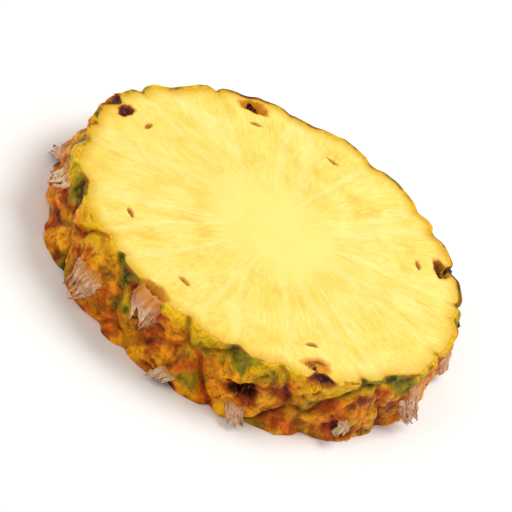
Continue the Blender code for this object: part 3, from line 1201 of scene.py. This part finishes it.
def makeScales():
    form = scaleForm
    drawn = drawnScales()
    bm = bmesh.new()
    layers = {name: bm.verts.layers.float.new(name) for name in scaleLayers}
    columns = form["columns"]
    rows = form["rows"]
    for index in range(len(drawn)):
        for vert in bmesh.ops.create_grid(bm, x_segments=columns, y_segments=rows, size=1.0)["verts"]:
            vert[layers["scale"]] = index
            vert[layers["along"]] = (1 - vert.co.y) / 2
            vert[layers["across"]] = vert.co.x
    mesh = finishMesh(bm, "scales")

    stored = np.empty((len(scaleLayers), len(mesh.vertices)), dtype=np.float32)
    for name, values in zip(scaleLayers, stored):
        mesh.attributes[name].data.foreach_get("value", values)
    number, along, across = stored.astype(float)
    middleAngle, middleHeight, lean = np.array(drawn)[np.round(number).astype(int)].T
    outward = form["root"] - form["length"] * along
    aside = across * form["halfWidth"] * (1 - along ** form["taperCurve"] * form["taper"])
    height = middleHeight + np.sin(lean) * outward + np.cos(lean) * aside
    sideways = np.cos(lean) * outward - np.sin(lean) * aside
    angle = middleAngle + sideways / grooveRadius(middleAngle, height)
    base = rindRadius(angle, height)
    level = grooveRadius(angle, height) + eyeForm["plateHeight"] - form["deepest"]
    raised = np.sin(along * math.pi * form["riseTurn"])
    lift = (form["sunk"] + form["rise"]) * raised - form["sunk"]
    radius = np.maximum(base, level) + lift + lumpsOf(base, angle, height)
    radius = radius - form["tipDrop"] * along**3 - form["crown"] * across**2
    writePoints(mesh, *toPlane(radius, angle), height)

    edgeGain, edgeLoss = form["edgeShade"]
    rootGain, rootLoss, rootShare = form["rootShade"]
    tipGain, tipLoss, tipMost = form["tipShade"]
    edge = np.clip(np.abs(across) * edgeGain - edgeLoss, 0, 1)
    writeMasks(mesh, {
        "rise": np.ones(len(along)),
        "pit": np.clip(along * tipGain - tipLoss, 0, tipMost),
        "crack": edge * np.clip(along * rootGain - rootLoss, 0, 1) * rootShare,
    })
    return mesh


scales = addPiece("eyeScales", makeScales(), rindMaterial)
addWall(scales, scaleForm["wall"])

# Withered flower parts, as thin curling strips, in the middles of the eyes and in the cups
remainsForm = {
    "eye": {"count": 5, "halfWidth": 0.00035, "bend": (0.7, 1.9), "lean": 0.4, "flat": 0.6, "back": 0.0006},
    "cup": {"count": 7, "halfWidth": 0.00042, "bend": (1.0, 2.0), "lean": 0.3, "flat": 1, "back": 0.0005},
    "length": 0.0034,
    "lengthShares": (0.6, 0.95),
    "taper": 0.65,
    "crown": 0.0002,
    "sway": 0.25,
    "swayNoise": (40, 5),
    "segments": 7,
    "wall": 0.00018,
    "rootDepth": 0.0002,
    "cupLift": 0.0003,
    "cupShare": 0.75,
    "cutGap": 0.003,
    "floorGap": 0.0003,
    "seed": 12,
    "look": {
        "name": "driedFlower",
        "colours": {
            "brown": tint(112, 50, 14),
            "dark": tint(46, 14, 6),
            "straw": tint(190, 122, 60),
        },
        "base": "brown",
        "masks": ("along", "tone"),
        "patterns": {"patches": patches(420.0, 3.0, 0.38, 0.62)},
        "layers": (("patches", None, 1, "dark"), ("tips", None, 0.9, "straw")),
        "tips": (0.55, 1.0),
        "shader": {"Roughness": 0.78},
    },
}


def addTips(tree, look, masks, colours):
    masks["tips"] = times(tree, fade(tree, masks["along"], *look["tips"]), masks["tone"])


def bendStrip(bm, layers, start, outward, aside, sizes, tone):
    length, halfWidth, bend = sizes
    toneStep, alongStep = remainsForm["swayNoise"]
    cross = outward.cross(aside).normalized()
    made = bmesh.ops.create_grid(bm, x_segments=2, y_segments=remainsForm["segments"], size=1.0)
    for vert in made["verts"]:
        along = (vert.co.y + 1) / 2
        across = vert.co.x
        curve = bend * along
        forward = length * math.sin(curve) / bend
        lift = length * (1 - math.cos(curve)) / bend + remainsForm["crown"] * across**2
        wave = noise.noise(Vector((tone * toneStep, along * alongStep, 0))) * length * remainsForm["sway"]
        width = halfWidth * (1 - remainsForm["taper"] * along) * across
        vert.co = start + aside * forward + outward * lift + cross * (width + wave)
        vert.co.z = max(vert.co.z, remainsForm["floorGap"])
        vert[layers["along"]] = along
        vert[layers["tone"]] = tone


# Strips out of one root, which lean all ways between the two directions of the face
def addStrips(bm, layers, draw, kind, root, directions, longest):
    form = remainsForm[kind]
    first, second, outward = directions
    for _ in range(form["count"]):
        turn = draw.uniform(0, math.tau)
        inFace = first * math.cos(turn) + second * math.sin(turn) * form["flat"]
        aside = (inFace + outward * form["lean"]).normalized()
        length = longest * draw.uniform(*remainsForm["lengthShares"])
        sizes = (length, form["halfWidth"], draw.uniform(*form["bend"]))
        bendStrip(bm, layers, root - aside * form["back"], outward, aside, sizes, draw.random())


# Which way out of its cut face a hollow opens, and the height of the face there
def openingOf(hollow):
    if hollow["upper"]:
        return 1, float(upperCut(hollow["angle"], hollow["radius"]))
    return -1, 0.0


def makeRemains():
    form = remainsForm
    draw = random.Random(form["seed"])
    east, north, up = Matrix.Identity(3)
    bm = bmesh.new()
    layers = {name: bm.verts.layers.float.new(name) for name in remainsForm["look"]["masks"]}
    for eyeAngle, eyeHeight, _ in eyes.values():
        angle, height = middleOf(eyeAngle, eyeHeight)
        cut = rimHeight(angle)
        if height < form["cutGap"] or height > cut - form["cutGap"]:
            continue
        outward = Vector((math.cos(angle), math.sin(angle), 0))
        around = Vector((-math.sin(angle), math.cos(angle), 0))
        depth = float(rindRadius(np.array([angle]), np.array([height]))[0]) - form["rootDepth"]
        root = outward * depth + Vector((0, 0, height))
        addStrips(bm, layers, draw, "eye", root, (around, up, outward), form["length"])
    for hollow in hollows:
        if hollow["kind"] != "cup":
            continue
        side, level = openingOf(hollow)
        x = hollow["radius"] * math.cos(hollow["angle"])
        y = hollow["radius"] * math.sin(hollow["angle"])
        depth = float(hollowDepth(np.array([x]), np.array([y]), hollow["upper"])[0][0])
        root = Vector((x, y, level - side * (depth - form["cupLift"])))
        longest = min(form["length"], depth * form["cupShare"])
        addStrips(bm, layers, draw, "cup", root, (east, north, up * side), longest)
    return finishMesh(bm, "remains")


remains = addPiece("flowerRemains", makeRemains(), makeMaterial(remainsForm["look"], addTips))
addWall(remains, remainsForm["wall"])

# Small pale-brown seeds that lie in the pockets
seedForm = {
    "size": (0.00060, 0.00125, 0.00045),
    "narrowing": 0.45,
    "along": 10,
    "round": 8,
    "sunk": 0.00075,
    "slide": 0.0004,
    "seed": 5,
    "look": {
        "name": "seedShell",
        "colours": {"shell": tint(190, 122, 46), "shade": tint(136, 76, 22)},
        "base": "shell",
        "masks": (),
        "patterns": {"patches": patches(900.0, 2.0, 0.4, 0.62)},
        "layers": (("patches", None, 1, "shade"),),
        "shader": {"Roughness": 0.35},
    },
}


def makeSeeds():
    draw = random.Random(seedForm["seed"])
    bm = bmesh.new()
    for hollow in hollows:
        if hollow["kind"] != "pocket":
            continue
        side, level = openingOf(hollow)
        verts = bmesh.ops.create_uvsphere(bm, u_segments=seedForm["round"], v_segments=seedForm["along"],
                                          radius=1.0)["verts"]
        bmesh.ops.rotate(bm, cent=(0, 0, 0), matrix=Matrix.Rotation(math.pi / 2, 3, "X"), verts=verts)
        for vert in verts:
            narrow = 1 - seedForm["narrowing"] * max(0.0, vert.co.y)
            vert.co = (vert.co.x * narrow, vert.co.y, vert.co.z * narrow)
        bmesh.ops.scale(bm, vec=seedForm["size"], verts=verts)
        slide = draw.uniform(-seedForm["slide"], seedForm["slide"])
        place = (hollow["radius"], slide, level - side * seedForm["sunk"])
        bmesh.ops.translate(bm, vec=place, verts=verts)
        bmesh.ops.rotate(bm, cent=(0, 0, 0), matrix=Matrix.Rotation(hollow["angle"], 3, "Z"), verts=verts)
    return finishMesh(bm, "seeds")


addPiece("pocketSeeds", makeSeeds(), makeMaterial(seedForm["look"]))

# The floor, the light and the camera
studio = {
    "floorSize": 4.0,
    "floorLook": {"Base Color": (0.93, 0.93, 0.93, 1.0), "Roughness": 0.8},
    "worldLook": {"Color": (1.0, 0.95, 0.88, 1.0), "Strength": 0.55},
    "lights": {
        "keyLight": {"place": (0.35, 0.30, 0.75), "size": 0.5, "power": 5.4},
        "fillLight": {"place": (-0.6, -0.5, 0.5), "size": 0.6, "power": 2.2},
    },
    "lightTarget": (0.0, 0.0, 0.01),
}


def makeFloor():
    bm = bmesh.new()
    bmesh.ops.create_grid(bm, x_segments=1, y_segments=1, size=studio["floorSize"] / 2)
    mesh = finishMesh(bm, "floor")
    mesh.materials.append(newMaterial("paleFloor", studio["floorLook"])[0])
    floor = addObject("floor", mesh)


def addAreaLight(name, place, size, power):
    light = addObject(name, bpy.data.lights.new(name, "AREA"))
    light.data.size = size
    light.data.energy = power
    light.location = place
    aim = Vector(studio["lightTarget"]) - Vector(place)
    light.rotation_euler = aim.to_track_quat("-Z", "Y").to_euler()


def makeLight():
    world = bpy.data.worlds.new("softStudio")
    world.use_nodes = True
    for label, value in studio["worldLook"].items():
        world.node_tree.nodes["Background"].inputs[label].default_value = value
    bpy.context.scene.world = world
    bpy.context.scene.view_settings.view_transform = "Standard"
    for name, values in studio["lights"].items():
        addAreaLight(name, **values)


# Metres, with the angles in degrees and the lens in millimetres
cameraView = {
    "elevation": 36.0,
    "roll": 33.0,
    "distance": 0.80,
    "lens": 205.0,
    "target": (0.0, 0.0, 0.0085),
    "nearest": 0.01,
}


def makeCamera():
    camera = addObject("camera", bpy.data.cameras.new("camera"))
    elevation = math.radians(cameraView["elevation"])
    back = Vector((0.0, -math.cos(elevation), math.sin(elevation)))
    roll = Matrix.Rotation(math.radians(cameraView["roll"]), 3, "Z")
    camera.location = Vector(cameraView["target"]) + back * cameraView["distance"]
    camera.rotation_euler = ((-back).to_track_quat("-Z", "Y").to_matrix() @ roll).to_euler()
    camera.data.lens = cameraView["lens"]
    camera.data.clip_start = cameraView["nearest"]
    bpy.context.scene.camera = camera


makeFloor()
makeLight()
makeCamera()
print("studio made")
